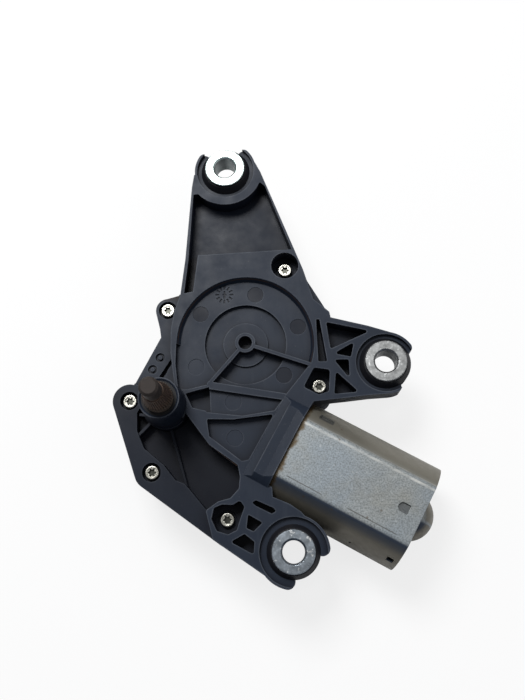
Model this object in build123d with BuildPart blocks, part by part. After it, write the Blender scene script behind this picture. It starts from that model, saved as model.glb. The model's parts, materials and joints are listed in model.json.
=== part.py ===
from build123d import *
from math import acos, asin, atan2, cos, degrees, hypot, pi, radians, sin, sqrt, tan
import os

os.makedirs("parts", exist_ok=True)

# Rear-window wiper motor. Millimetres. The origin is on the output shaft's axis, at the foot of
# its threaded stub. +Z points out along the shaft, +Y towards the longest mounting arm.

# Heights. Everything hangs from the plane of the mount sleeves' front faces.
mount_face_z = -26.0
rim_z = mount_face_z - 3.0
tower_rim_z = mount_face_z + 12.0
flange_z = mount_face_z - 8.0
tab_z = mount_face_z - 9.0
arm_floor_z = mount_face_z - 11.0
arm_back_z = mount_face_z - 13.0
deep_floor_z = mount_face_z - 14.5
inner_roof_z = mount_face_z - 17.0
motor_axis_z = mount_face_z - 20.0
split_z = mount_face_z - 27.0

# Mounting points with the way each seat opens and its radius, and the screws, seen along the shaft.
top_mount = (25.2, 109.9)
right_mount = (95.8, 17.7)
bottom_mount = (55.3, -61.8)
mounts = {"top": (top_mount, 96.3, 14.2), "right": (right_mount, -16.4, 13.8),
          "bottom": (bottom_mount, -47.6, 15.2)}
screw_1 = (52.5, 62.8)
screw_2 = (-0.6, 44.2)
screw_3 = (-16.2, 2.5)
screw_4 = (-5.4, -28.7)
screw_5 = (27.4, -48.7)
screw_6 = (67.2, 8.6)
screw_spots = [screw_1, screw_2, screw_3, screw_4, screw_5, screw_6]

# Mount sleeves and grommets.
sleeve_length = 12.0
sleeve_bore_r = 4.75
sleeve_barrel_r = 6.5
sleeve_flange_r = 9.0
sleeve_flange = 1.5
sleeve_chamfer = 0.7
grommet_flange_r = 11.2
grommet_top_r = 9.4
grommet_neck_r = 8.8
grommet_front = 3.2
grommet_back = 2.2
grommet_round = 0.6
seat_lip = 1.1
seat_recess = 1.8
seat_plate = 5.0
seat_gap_angle = 78.0

# Motor axis, worm and worm wheel.
motor_angle = -28.2
motor_offset = 8.6
worm_pitch_r = 4.85
wheel_module = 0.9
wheel_teeth = 60
wheel_along = 17.9
wheel_width = 8.0
worm_turns = 5
mesh_clearance = 0.15
pressure_angle = 20.0
wheel_pitch_r = wheel_module * wheel_teeth / 2
worm_pitch = wheel_module * pi
worm_tip_r = worm_pitch_r + wheel_module
worm_root_r = worm_pitch_r - 1.25 * wheel_module
wheel_tip_r = wheel_pitch_r + wheel_module
wheel_root_r = wheel_pitch_r - 1.25 * wheel_module
wheel_distance = wheel_pitch_r + worm_pitch_r
worm_start = wheel_along - worm_turns * worm_pitch / 2
worm_end = wheel_along + worm_turns * worm_pitch / 2
chamber_r = wheel_tip_r + 1.3
chamber_wall = 2.5

# Output gears and linkage.
gear_module = 1.0
pinion_teeth = 20
sector_teeth = 44
sector_cut_teeth = 10
gear_backlash = 0.12
lever_direction = -38.0
lever_arm = 16.5
output_sweep = 110.0
pinion_r = gear_module * pinion_teeth / 2
sector_r = gear_module * sector_teeth / 2
lever_sweep = output_sweep * pinion_teeth / sector_teeth
crank_throw = lever_arm * sin(radians(lever_sweep / 2))

# Layers from the wheel down to the rod.
wheel_bottom_z = motor_axis_z - wheel_width / 2
lever_top_z = split_z + 0.5
lever_thickness = 4.5
lever_bottom_z = lever_top_z - lever_thickness
rod_gap = 0.6
rod_thickness = 3.0
rod_top_z = lever_bottom_z - rod_gap
rod_bottom_z = rod_top_z - rod_thickness
open_pivot_gap = 0.3
rod_width = 6.0
rod_eye_r = 5.0
clip_thickness = 0.6
clip_gap = 0.1

# Pins.
axle_r = 3.0
pivot_r = 3.0
crank_pin_r = 2.25
running_fit = 0.05

# Output shaft and its tower.
stub_r = 4.0
stub_length = 10.0
stub_chamfer = 1.0
cone_length = 10.0
cone_top_r = 4.6
cone_grooves = 36
shaft_r = 6.2
lower_shaft_r = 5.0
bush_wall = 1.2
bush_length = 8.5
upper_bush_top_z = tower_rim_z - 3.0
lower_bush_bottom_z = motor_axis_z + 5.0
tower_top_r = 8.7
tower_lip = 0.5
tower_foot_r = 10.2
seal_thickness = 1.6
seal_depth = 0.8
column_r = 8.6
pinion_top_z = split_z + 1.5
pinion_bottom_z = lever_bottom_z - 0.3
washer_thickness = 0.6
washer_gap = 0.1

# Motor can and what is in it, by the distance along the motor's axis.
can_r = 24.0
can_half_flat = 20.0
can_wall = 1.2
can_crease_r = 4.0
can_start = 56.3
can_end = 117.9
cup_r = 10.4
cup_height = 7.3
magnet_thickness = 5.0
magnet_half_angle = 48.0
magnet_start = 64.0
magnet_end = 100.0
air_gap = 0.6
core_r = 17.0
core_start = 66.0
core_end = 98.0
core_slots = 10
slot_width = 4.0
slot_mouth = 1.8
slot_floor_r = 8.0
slot_top_r = 15.3
winding_overhang = 5.0
winding_gap = 0.1
motor_shaft_r = 3.0
motor_shaft_end = 122.3
journal_r = 2.5
front_bush_start = 4.6
front_bush_end = 9.6
front_bush_r = 4.0
thrust_pad_start = 3.0
thrust_pad_r = 2.4
middle_bush_start = 40.8
middle_bush_end = 45.8
middle_bush_r = 6.5
rear_bush_start = 114.5
rear_bush_end = 120.5
rear_bush_r = 9.0
commutator_r = 9.0
commutator_start = 48.2
commutator_end = 58.0
commutator_bars = 10
brush_width = 5.0
brush_length = 7.5
brush_start = 51.0
brush_card_start = 56.5
brush_card = 2.0
spring_r = 1.7
spring_wire_r = 0.25
spring_turns = 5

# Collar that carries the can.
collar_start = 48.0
collar_roof_start = 44.5
collar_roof_full = can_start
collar_roof_lap = 0.3
collar_top = 21.5
collar_r = 25.5
collar_bore_r = 21.0
collar_back = 1.6
spigot_length = 3.0
spigot_half_bore = 17.2
bearing_block_start = 40.0
bearing_block_r = 12.5
commutator_room_r = 10.2

# Rear cover, its screws and what it carries.
cover_floor = 2.5
gasket_thickness = 0.8
base_z = motor_axis_z - can_half_flat
cover_top_z = split_z - gasket_thickness
cover_inside_z = base_z + cover_floor
lobe_r = 6.2
flange_lobe_r = 7.4
tab_lobe_r = 5.4
boss_r = 5.2
screw_r = 1.75
screw_hole_gap = 0.2
thread_gap = 0.03
screw_head_r = 3.05
screw_head = 2.4
screw_drive_depth = 1.8
screw_drive_r = 1.35
screw_drive_lobe_r = 0.45
screw_dish_r = 2.15
screw_dish = 0.5
screw_round = 0.5
screw_head_room = 1.0
screw_seat_z = mount_face_z - 11.4
screw_tip_z = base_z + 4.0
cover_edge_r = 1.5
socket_width = 24.0
socket_height = 11.0
socket_back = 50.0
socket_reach = 28.0
socket_wall = 1.5
socket_depth = 14.0
socket_centre = 31.0
blade_width = 2.4
blade_thickness = 0.8
blade_pitch = 4.8
blade_root = 10.0
blade_reach = 8.0
blade_count = 4
choke_r = 3.0
choke_length = 12.0
carrier_angle = 30.0
carrier_r = 21.0
finger_gap = 0.1
finger_width = 1.6

# The face of the housing: the dish over the wheel, its disc and axle boss, pockets and marks.
dish_r = 30.3
dish_draft = 1.5
dish_floor = 3.0
dish_recess_r = 18.0
dish_recess = 2.0
disc_r = 10.0
disc_rise = 1.0
axle_boss_r = 4.5
axle_cover = 1.5
axle_hole_depth = 6.0
axle_top = rim_z - axle_hole_depth - axle_cover
shelf_floor = 2.0
v_pocket_floor = 3.5
deck_rib = 1.6
arm_pocket_wall_r = 17.0
pocket_round = 0.7
small_round = 0.5
wide_round = 1.2
screw_well_r = 6.1
thin_rib = 1.2
low_rib = 2.5
deck_wall = 2.0
rib_drop = 1.0
mark_r = 3.6
mark_depth = 0.15
dial_r = 3.2
dial_marks = 12
dial_stroke = 1.7
dial_line = 0.75
ring_mark_r = 2.0
ring_mark = 1.0
inner_boss_bottom = motor_axis_z + 5.1
wheel_room_roof = mount_face_z - 10.5
worm_room_r = worm_tip_r + 0.9
pivot_pin_top = deep_floor_z - 1.5
pivot_boss_r = 6.0
lower_bore_r = lower_shaft_r + 0.3
bush_outer_r = shaft_r + running_fit + bush_wall
column_bottom = pinion_top_z + washer_gap + washer_thickness + washer_gap
front_block_start = 2.4
front_block_end = 9.8
can_gap = 0.6

# Marks pressed in the can.
dent_along = 109.2
dent_r = 2.0
dent_length = 2.7
dent_depth = 0.8
slot_along = 65.1
slot_angle = 39.8
slot_length = 6.4
slot_dent_width = 2.4
vent_along = 114.4
vent_angle = 150.9
vent_size = 3.0
pin_hole_along = 96.8
pin_hole_angle = 159.0
pin_hole_r = 0.6

# The motor's own directions: along its axis, and across it.
motor_u = Vector(cos(radians(motor_angle)), sin(radians(motor_angle)), 0)
motor_n = Vector(-motor_u.Y, motor_u.X, 0)


def on_motor(along, across, z=motor_axis_z):
    """A point given along the motor's axis and across from it."""
    flat = motor_u * along + motor_n * (motor_offset + across)
    return (flat.X, flat.Y, z)


def seen(along, across):
    """The same point, seen along the output shaft."""
    return on_motor(along, across)[:2]


def polar(centre, radius, angle):
    """The point at this radius and angle, in degrees, about a centre."""
    return (centre[0] + radius * cos(radians(angle)), centre[1] + radius * sin(radians(angle)))


def bearing(start, end):
    """The direction from one point to another, in degrees."""
    return degrees(atan2(end[1] - start[1], end[0] - start[0]))


def motor_plane(along):
    """A sketch plane square to the motor's axis: local x is across it, local y is up."""
    return Plane(origin=on_motor(along, 0), x_dir=motor_n, z_dir=motor_u)


wheel_centre = seen(wheel_along, wheel_distance)
lever_pivot = polar((0, 0), pinion_r + sector_r, lever_direction)

# Linkage at rest, which is one end of the sweep: crank and rod lie in one line there.
pivot_to_wheel = hypot(wheel_centre[0] - lever_pivot[0], wheel_centre[1] - lever_pivot[1])
rod_length = sqrt(pivot_to_wheel**2 - lever_arm**2)
mid_lever_angle = bearing(lever_pivot, wheel_centre) + degrees(acos(lever_arm / pivot_to_wheel))
rod_pin_spot = polar(lever_pivot, lever_arm, mid_lever_angle + lever_sweep / 2)
rod_angle = bearing(rod_pin_spot, wheel_centre)
crank_spot = polar(rod_pin_spot, rod_length, rod_angle)


# Small helpers that draw in the sketch or part being built.
def outline(*points, mode=Mode.ADD):
    """A closed straight-sided area."""
    with BuildLine() as edge:
        Polyline(*points, close=True)
    make_face(edge.edges(), mode=mode)


def discs(spots, radius, mode=Mode.ADD):
    """Round areas of one radius."""
    with Locations(*spots):
        Circle(radius, mode=mode)


def rounded(radius, *points, mode=Mode.ADD):
    """A closed area with rounded corners."""
    with BuildSketch(Plane.XY) as area:
        outline(*points)
        fillet(area.vertices(), radius)
    add(area.sketch, mode=mode)


def belt(start, end, radius):
    """A straight band with round ends."""
    discs([start, end], radius)
    with Locations(((start[0] + end[0]) / 2, (start[1] + end[1]) / 2)):
        Rectangle(hypot(end[0] - start[0], end[1] - start[1]), 2 * radius, rotation=bearing(start, end))


def can_section(radius, half_flat, crease=0.0):
    """A round section with a flat above and below, and rounded creases between."""
    with BuildSketch(Plane.XY) as area:
        Circle(radius)
        Rectangle(2 * radius, 2 * half_flat, mode=Mode.INTERSECT)
        if crease > 0:
            fillet(area.vertices(), crease)
    add(area.sketch)


def prism(low, high, *points, mode=Mode.ADD):
    """An upright block on a straight-sided outline."""
    with BuildSketch(Plane.XY.offset(low)) as area:
        outline(*points)
    extrude(area.sketch, amount=high - low, mode=mode)


def tube(centre, low, high, outer, inner=0.0, mode=Mode.ADD):
    """An upright round post, or a tube where it has an inner radius."""
    with BuildSketch(Plane.XY.offset(low)) as area:
        with Locations(centre):
            Circle(outer)
            if inner > 0:
                Circle(inner, mode=Mode.SUBTRACT)
    extrude(area.sketch, amount=high - low, mode=mode)


def motor_tube(start, end, outer, inner=0.0, mode=Mode.ADD):
    """A round bar or tube on the motor's axis."""
    with BuildSketch(motor_plane(start)) as area:
        Circle(outer)
        if inner > 0:
            Circle(inner, mode=Mode.SUBTRACT)
    extrude(area.sketch, amount=end - start, mode=mode)


def motor_can_block(start, end, radius, half_flat, crease=0.0, mode=Mode.ADD):
    """A bar on the motor's axis with the can's flat-sided section."""
    with BuildSketch(motor_plane(start)) as area:
        can_section(radius, half_flat, crease)
    extrude(area.sketch, amount=end - start, mode=mode)


def rib(start, end, width, low, high):
    """An upright wall between two points."""
    length = hypot(end[0] - start[0], end[1] - start[1])
    with BuildSketch(Plane.XY.offset(low)) as area:
        with Locations(((start[0] + end[0]) / 2, (start[1] + end[1]) / 2)):
            Rectangle(length, width, rotation=bearing(start, end))
    extrude(area.sketch, amount=high - low)


def finish(piece, name):
    """Names a finished piece and writes it."""
    piece.part.label = name
    export_step(piece.part, f"parts/{name}.step")


# Outline of the gear chamber, with a lobe for each screw, and of the room inside it.
def lobe(spot):
    """A round ear for a screw, joined to the wheel's round wall."""
    to_wheel = bearing(spot, wheel_centre)
    near = polar(wheel_centre, chamber_r, to_wheel + 180)
    discs([spot], lobe_r)
    outline(polar(spot, lobe_r, to_wheel + 90), polar(spot, lobe_r, to_wheel - 90),
            polar(near, 1.6 * lobe_r, to_wheel - 90), polar(near, 1.6 * lobe_r, to_wheel + 90))


with BuildSketch() as chamber:
    discs([wheel_centre], chamber_r + chamber_wall)
    discs([screw_2], tab_lobe_r)
    belt(screw_3, screw_4, flange_lobe_r)
    belt(screw_4, (28.9, -53.0), flange_lobe_r)
    outline((5.4, 51.4), (-2.4, 49.2), (-5.9, 43.0), (-3.9, 35.5), (-3.3, 31.5), (-14.6, 9.4), screw_3,
            screw_4, (27.0, -56.0), seen(collar_start, -36), seen(collar_start, 14), (30.0, 40.0))
    lobe(screw_1)
    lobe(screw_6)
    discs([screw_5], lobe_r)

with BuildSketch() as chamber_room:
    add(chamber.sketch)
    offset(amount=-chamber_wall, kind=Kind.INTERSECTION, mode=Mode.REPLACE)
    discs(screw_spots, boss_r, mode=Mode.SUBTRACT)


# Outline of the deck: the three arms and the middle that joins them.
with BuildSketch() as deck:
    outline((5.8, 49.9), (7.6, 66.3), (9.8, 101.7), (10.7, 108.0), top_mount, (39.0, 113.8),
            (41.5, 109.0), (60.7, 60.7), (65.0, 47.0), (72.0, 40.9), (72.5, 38.3), (88.7, 34.3),
            (98.0, 31.4), right_mount, (97.4, 4.0), (88.5, 3.4), (78.3, 2.2), (64.5, 0.8),
            (62.3, -2.7), (60.9, -5.9), (48.4, -28.7), (46.5, -34.0), (46.8, -39.5), (50.5, -41.0),
            (54.0, -42.5), (58.5, -45.5), (63.0, -50.5), bottom_mount, (43.4, -71.2), (21.9, -56.9),
            (18.9, -45.6), (22.0, -38.0), (26.0, -25.0),
            (16.0, -14.0), (6.0, -4.0), (0.0, 6.0), (4.2, 8.0), (2.7, 19.0), (2.1, 22.9), (1.9, 33.0),
            (3.2, 42.0))

# Recesses in the face of the deck.
with BuildSketch() as arm_pockets:
    outline((10.6, 98.0), (41.6, 103.6), (43.6, 101.8), (55.6, 70.5), (13.3, 68.3), (11.4, 51.0),
            (7.4, 50.2), (9.0, 66.0))
    discs([top_mount], arm_pocket_wall_r, mode=Mode.SUBTRACT)
    rounded(pocket_round, (70.5, 36.2), (89.6, 31.9), (72.2, 24.0))
    rounded(pocket_round, (73.6, 21.9), (82.4, 27.0), (81.0, 20.4))
    rounded(pocket_round, (73.6, 19.2), (80.0, 19.2), (80.2, 10.6))
    rounded(pocket_round, (74.3, 14.0), (83.8, 4.9), (73.4, 4.0))
    rounded(small_round, (66.1, 37.5), (67.6, 37.5), (70.6, 18.4), (66.8, 18.4))
    rounded(wide_round, (64.8, 15.7), (71.7, 14.7), (71.1, 5.2), (66.8, 3.8), (60.3, 7.2))
    rounded(small_round, (36.5, -46.7), (42.5, -50.0), (38.8, -53.6), (35.9, -52.2))
    rounded(pocket_round, (35.1, -54.6), (39.2, -57.8), (38.9, -62.8), (29.3, -57.8))
    rounded(small_round, (38.1, -41.8), (39.8, -40.9), (47.0, -44.0), (48.2, -45.3), (46.4, -46.4),
            (39.8, -43.2))
    rounded(wide_round, (21.2, -48.5), (22.2, -44.0), (25.5, -42.6), (30.1, -42.8), (33.1, -40.9),
            (35.0, -43.6), (33.1, -48.9), (31.9, -53.0), (28.2, -54.8), (23.6, -53.4))
    discs([screw_1], screw_well_r)


def mount_seat(spot, opening, outer):
    """The open ring that a mount grommet slides into, with its plate and two round-ended ears."""
    ear_r = (outer - grommet_neck_r) / 2
    ear_place_r = (outer + grommet_neck_r) / 2
    half_gap = seat_gap_angle / 2 + degrees(asin(ear_r / ear_place_r))
    tube(spot, arm_back_z, rim_z, outer)
    prism(arm_back_z, rim_z, spot, polar(spot, 2 * outer, opening - half_gap),
          polar(spot, 3 * outer, opening), polar(spot, 2 * outer, opening + half_gap),
          mode=Mode.SUBTRACT)
    for side in (-1, 1):
        tube(polar(spot, ear_place_r, opening + side * half_gap), arm_back_z, rim_z, ear_r)
    tube(spot, arm_back_z, rim_z, grommet_neck_r, mode=Mode.SUBTRACT)
    recess_r = outer - seat_lip
    tube(spot, rim_z - seat_recess, rim_z, recess_r, mode=Mode.SUBTRACT)
    tube(spot, arm_back_z, rim_z - seat_recess - seat_plate, recess_r, mode=Mode.SUBTRACT)


# The collar's roof over the can's mouth, round at its sides, with a slope up to its flat top.
with BuildPart() as collar_roof:
    roof_low = flange_z - motor_axis_z
    with BuildSketch(motor_plane(collar_roof_start - collar_roof_lap)):
        Circle(collar_r)
        with Locations((0, (roof_low + collar_top) / 2)):
            Rectangle(2 * collar_r, collar_top - roof_low, mode=Mode.INTERSECT)
    extrude(amount=can_start - collar_roof_start + collar_roof_lap)
    rise = motor_axis_z + collar_top - rim_z
    slope_up = Vector(0, 0, collar_roof_full - collar_roof_start) - motor_u * rise
    split(bisect_by=Plane(on_motor(collar_roof_full, 0, motor_axis_z + collar_top), z_dir=slope_up),
          keep=Keep.BOTTOM)

with BuildPart() as gear_housing:
    # The chamber's walls and flange, the deck, and the ledge beside the longest arm.
    with BuildSketch(Plane.XY.offset(split_z)):
        add(chamber.sketch)
    extrude(amount=flange_z - split_z)
    with BuildSketch(Plane.XY.offset(arm_back_z)):
        add(deck.sketch)
    extrude(amount=rim_z - arm_back_z)
    prism(arm_back_z, tab_z, (58.0, 64.0), (61.3, 59.5), (72.8, 40.3), (72.5, 38.3), (62.0, 45.0))
    prism(tab_z, flange_z, (4.9, 54.0), (-8.0, 52.0), (-8.0, 31.0), (-16.0, 12.0), (-13.0, 9.6),
          (-6.0, 9.0), (-1.3, 12.2), (2.0, 20.0), (1.9, 33.0), (3.2, 42.0), mode=Mode.SUBTRACT)
    prism(tab_z - 3.0, rim_z, (2.0, 22.3), (2.5, 19.7), (-2.2, 12.3), (-3.5, 13.5), mode=Mode.SUBTRACT)
    for spot in ((-3.4, 22.2), (-6.6, 16.8)):
        tube(spot, tab_z - ring_mark, tab_z, ring_mark_r, ring_mark_r / 2, mode=Mode.SUBTRACT)
    # The collar for the can, with a sloped roof up to it, and the spigot inside the can.
    prism(split_z, rim_z, seen(45, -24.5), seen(45, 14), seen(50, 14), seen(50, -24.5))
    motor_can_block(collar_start, can_start, collar_r, can_half_flat)
    add(collar_roof.part)
    # The bearing tower.
    with Locations((0, 0, deep_floor_z)):
        Cone(tower_foot_r, tower_top_r, tower_rim_z - deep_floor_z,
             align=(Align.CENTER, Align.CENTER, Align.MIN))
    # The deep pocket between the flange and the deck, with its ribs.
    with BuildSketch(Plane.XY.offset(deep_floor_z)):
        rounded(wide_round, (-12.6, -2.9), (-12.3, -10.8), (-9.0, -18.4), (-0.2, -25.6), (5.0, -32.0),
                (9.2, -33.7), (18.9, -45.0), (24.0, -41.3), (29.0, -40.0), (32.6, -36.0),
                (33.0, -31.0), (32.0, -26.2), (19.8, -17.6), (8.0, -2.0), (0.0, 4.0), (-10.0, 2.0))
        Circle(tower_foot_r, mode=Mode.SUBTRACT)
    extrude(amount=rim_z - deep_floor_z, mode=Mode.SUBTRACT)
    rib((2.0, -9.6), (9.5, -34.7), thin_rib, deep_floor_z, deep_floor_z + low_rib)
    rib((-11.5, -3.6), (-8.5, -4.0), thin_rib, deep_floor_z, flange_z)
    rib((-11.8, -12.5), (-6.5, -7.0), thin_rib, deep_floor_z, flange_z - rib_drop)
    rib((8.4, 0.4), (20.4, -17.0), deck_wall, deep_floor_z, rim_z - rib_drop)
    rib((20.4, -17.0), (32.3, -25.8), deck_wall, deep_floor_z, rim_z - rib_drop)
    # The dished roof of the gear chamber.
    with Locations((*wheel_centre, rim_z)):
        Cone(dish_r - dish_draft, dish_r, dish_floor, mode=Mode.SUBTRACT,
             align=(Align.CENTER, Align.CENTER, Align.MAX))
    tube(wheel_centre, rim_z - dish_floor - dish_recess, rim_z, dish_recess_r, mode=Mode.SUBTRACT)
    prism(rim_z - dish_floor, rim_z, (4.5, 27.0), (4.4, 18.0), (5.5, 9.5), (6.3, 6.4), (10.2, 6.6),
          (13.4, 6.0), (19.0, 9.0), (25.0, 27.0), mode=Mode.SUBTRACT)
    tube(wheel_centre, arm_back_z, rim_z - dish_floor - dish_recess + disc_rise, disc_r)
    tube(wheel_centre, arm_back_z, rim_z, axle_boss_r)
    # The lower side of the dish, with its shelf and pockets.
    prism(arm_back_z, rim_z, (9.3, 6.4), (19.0, 8.6), (52.0, 3.3), (62.9, 17.0), (64.0, 4.0),
          (50.0, -8.0), (24.0, -12.0), (9.0, 0.0))
    prism(rim_z - shelf_floor, rim_z, (18.6, 6.6), (51.0, 1.6), (47.6, -3.0), (34.0, -5.2),
          (18.4, -3.6), mode=Mode.SUBTRACT)
    prism(tab_z, rim_z, (9.2, 4.6), (14.0, 6.0), (19.4, 7.4), (20.0, -3.4), (12.3, -1.6),
          mode=Mode.SUBTRACT)
    with BuildSketch(Plane.XY.offset(rim_z - v_pocket_floor)) as v_pocket:
        rounded(pocket_round, (18.6, -6.6), (30.0, -6.8), (47.4, -4.6), (36.6, -24.0), (33.8, -24.6),
                (19.8, -14.0))
    extrude(v_pocket.sketch, amount=v_pocket_floor, mode=Mode.SUBTRACT)
    rib(wheel_centre, (18.9, 8.4), deck_rib, arm_back_z, rim_z)
    rib((36.0, 26.5), (63.4, 17.2), deck_rib, arm_back_z, rim_z)
    rib((18.6, 9.2), (52.4, 3.6), deck_rib, arm_back_z, rim_z)
    # The arms' pockets and mount seats.
    with BuildSketch(Plane.XY.offset(arm_floor_z)):
        add(arm_pockets.sketch)
    extrude(amount=rim_z - arm_floor_z, mode=Mode.SUBTRACT)
    for spot, opening, outer in mounts.values():
        mount_seat(spot, opening, outer)
    # Round ejector marks, and a plain dial of short strokes.
    dish_top_z = rim_z - dish_floor
    for spot, level in (((14.7, 41.3), dish_top_z), ((39.2, 50.1), dish_top_z),
                        ((58.1, 35.0), dish_top_z), ((51.8, 13.1), dish_top_z),
                        ((13.2, 17.1), dish_top_z), ((29.7, 1.1), rim_z - shelf_floor),
                        ((30.5, -14.3), rim_z - v_pocket_floor)):
        tube(spot, level - mark_depth, level + mark_depth, mark_r, mode=Mode.SUBTRACT)
    with BuildSketch(Plane.XY.offset(dish_top_z - 2 * mark_depth)) as dial:
        with Locations((25.3, 50.3)):
            with PolarLocations(dial_r, dial_marks):
                Rectangle(dial_stroke, dial_line)
            Rectangle(dial_line, 2 * dial_stroke)
            Rectangle(dial_stroke, dial_line)
    extrude(dial.sketch, amount=2 * mark_depth, mode=Mode.SUBTRACT)
    # Clear of the can.
    with BuildSketch(motor_plane(can_start)):
        can_section(can_r + can_gap, can_half_flat + can_gap)
    extrude(amount=can_end - can_start, mode=Mode.SUBTRACT)
    # Rooms for the gears, the worm, the lever and the brushes.
    with BuildSketch(Plane.XY.offset(split_z)):
        add(chamber_room.sketch)
    extrude(amount=inner_roof_z - split_z, mode=Mode.SUBTRACT)
    tube(wheel_centre, inner_roof_z - 1.0, wheel_room_roof, chamber_r - 0.2, mode=Mode.SUBTRACT)
    tube(wheel_centre, inner_boss_bottom, wheel_room_roof + 0.5, axle_r + 4.0)
    motor_tube(front_block_end, bearing_block_start, worm_room_r, mode=Mode.SUBTRACT)
    # Column under the tower, boss for the lever's pivot, block for the front bush.
    tube((0, 0), column_bottom, deep_floor_z, column_r)
    tube(lever_pivot, lever_top_z + 0.1, deep_floor_z, pivot_boss_r)
    prism(column_bottom, motor_axis_z + 6.5, seen(front_block_start - 2, -6.5), seen(front_block_end, -6.5),
          seen(front_block_end, 6.5), seen(front_block_start - 2, 6.5))
    prism(split_z, inner_roof_z + 1, seen(bearing_block_start, -bearing_block_r),
          seen(collar_start + 0.5, -bearing_block_r), seen(collar_start + 0.5, bearing_block_r),
          seen(bearing_block_start, bearing_block_r))
    tube(wheel_centre, split_z, motor_axis_z + 5.0, wheel_tip_r + 0.5, mode=Mode.SUBTRACT)
    # Bores.
    tube((0, 0), lower_bush_bottom_z, tower_rim_z, bush_outer_r, mode=Mode.SUBTRACT)
    tube((0, 0), column_bottom, lower_bush_bottom_z, lower_bore_r, mode=Mode.SUBTRACT)
    with Locations((0, 0, tower_rim_z)):
        Cone(bush_outer_r, tower_top_r - tower_lip, seal_depth, mode=Mode.SUBTRACT,
             align=(Align.CENTER, Align.CENTER, Align.MAX))
    tube(lever_pivot, lever_top_z, pivot_pin_top, pivot_r, mode=Mode.SUBTRACT)
    tube(wheel_centre, inner_boss_bottom, axle_top, axle_r, mode=Mode.SUBTRACT)
    tube(wheel_centre, rim_z - axle_hole_depth, rim_z, axle_r, mode=Mode.SUBTRACT)
    motor_tube(front_bush_start - 0.1, front_block_end, front_bush_r, mode=Mode.SUBTRACT)
    motor_tube(thrust_pad_start, front_bush_start, thrust_pad_r, mode=Mode.SUBTRACT)
    motor_tube(bearing_block_start, middle_bush_end, middle_bush_r, mode=Mode.SUBTRACT)
    motor_tube(middle_bush_end, collar_start + collar_back, commutator_room_r, mode=Mode.SUBTRACT)
    motor_can_block(collar_start + collar_back, can_start, collar_bore_r, spigot_half_bore,
                    mode=Mode.SUBTRACT)
    for spot in screw_spots:
        tube(spot, screw_seat_z, rim_z, screw_head_r + screw_head_room, mode=Mode.SUBTRACT)
        tube(spot, split_z, screw_seat_z, screw_r + screw_hole_gap, mode=Mode.SUBTRACT)
    # The spigot.
    motor_can_block(can_start, can_start + spigot_length, can_r - can_wall - 0.05,
                    can_half_flat - can_wall - 0.05, can_crease_r - can_wall)
    motor_can_block(can_start, can_start + spigot_length, collar_bore_r, spigot_half_bore,
                    mode=Mode.SUBTRACT)

finish(gear_housing, "gear_housing")


# The rear cover, its gasket and screws.
def cover_room():
    """The gear chamber's room, less what stands up from the cover's floor."""
    with BuildSketch(Plane.XY.offset(cover_inside_z)) as area:
        add(chamber_room.sketch)
    extrude(area.sketch, amount=cover_top_z - cover_inside_z, mode=Mode.SUBTRACT)


with BuildPart() as rear_cover:
    with BuildSketch(Plane.XY.offset(base_z)):
        add(chamber.sketch)
    extrude(amount=cover_top_z - base_z)
    fillet(rear_cover.edges().group_by(Axis.Z)[0], cover_edge_r)
    cover_room()
    for spot in screw_spots:
        tube(spot, screw_tip_z - 0.5, cover_top_z, screw_r + thread_gap, mode=Mode.SUBTRACT)
    motor_can_block(collar_start - 0.6, collar_start + 20, collar_r + 0.4, can_half_flat + 0.4,
                    mode=Mode.SUBTRACT)
finish(rear_cover, "rear_cover")

with BuildPart() as cover_gasket:
    with BuildSketch(Plane.XY.offset(cover_top_z)):
        add(chamber.sketch)
        offset(amount=-0.6, kind=Kind.INTERSECTION, mode=Mode.REPLACE)
        add(chamber_room.sketch, mode=Mode.SUBTRACT)
        discs(screw_spots, screw_r + screw_hole_gap, mode=Mode.SUBTRACT)
    extrude(amount=gasket_thickness)
    motor_can_block(collar_start - 0.6, collar_start + 20, collar_r + 0.4, can_half_flat + 0.4,
                    mode=Mode.SUBTRACT)
finish(cover_gasket, "cover_gasket")

with BuildPart() as cover_screws:
    for spot in screw_spots:
        tube(spot, screw_tip_z, screw_seat_z, screw_r)
        tube(spot, screw_seat_z, screw_seat_z + screw_head, screw_head_r)
    fillet(cover_screws.edges().group_by(Axis.Z)[-1], screw_round)
    head_top_z = screw_seat_z + screw_head
    for spot in screw_spots:
        tube(spot, head_top_z - screw_dish, head_top_z, screw_dish_r, mode=Mode.SUBTRACT)
    with BuildSketch(Plane.XY.offset(head_top_z - screw_drive_depth)):
        with Locations(*screw_spots):
            Circle(screw_drive_r)
            with PolarLocations(screw_drive_r, 6):
                Circle(screw_drive_lobe_r)
    extrude(amount=screw_drive_depth, mode=Mode.SUBTRACT)
finish(cover_screws, "cover_screws")


# Mount grommets and sleeves, one of each to an arm.
def grommet(spot, name):
    """A rubber ring with a groove for the seat's plate."""
    with BuildPart() as ring:
        plate_top = rim_z - seat_recess
        plate_bottom = plate_top - seat_plate
        with Locations((*spot, plate_top)):
            Cone(grommet_flange_r, grommet_top_r, grommet_front,
                 align=(Align.CENTER, Align.CENTER, Align.MIN))
        tube(spot, plate_bottom, plate_top, grommet_neck_r)
        tube(spot, plate_bottom - grommet_back, plate_bottom, grommet_flange_r)
        fillet(ring.edges().filter_by(GeomType.CIRCLE).group_by(Axis.Z)[-1], grommet_round)
        fillet(ring.edges().filter_by(GeomType.CIRCLE).group_by(Axis.Z)[0], grommet_round)
        tube(spot, plate_bottom - grommet_back, plate_top + grommet_front, sleeve_barrel_r,
             mode=Mode.SUBTRACT)
    finish(ring, name)


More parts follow.
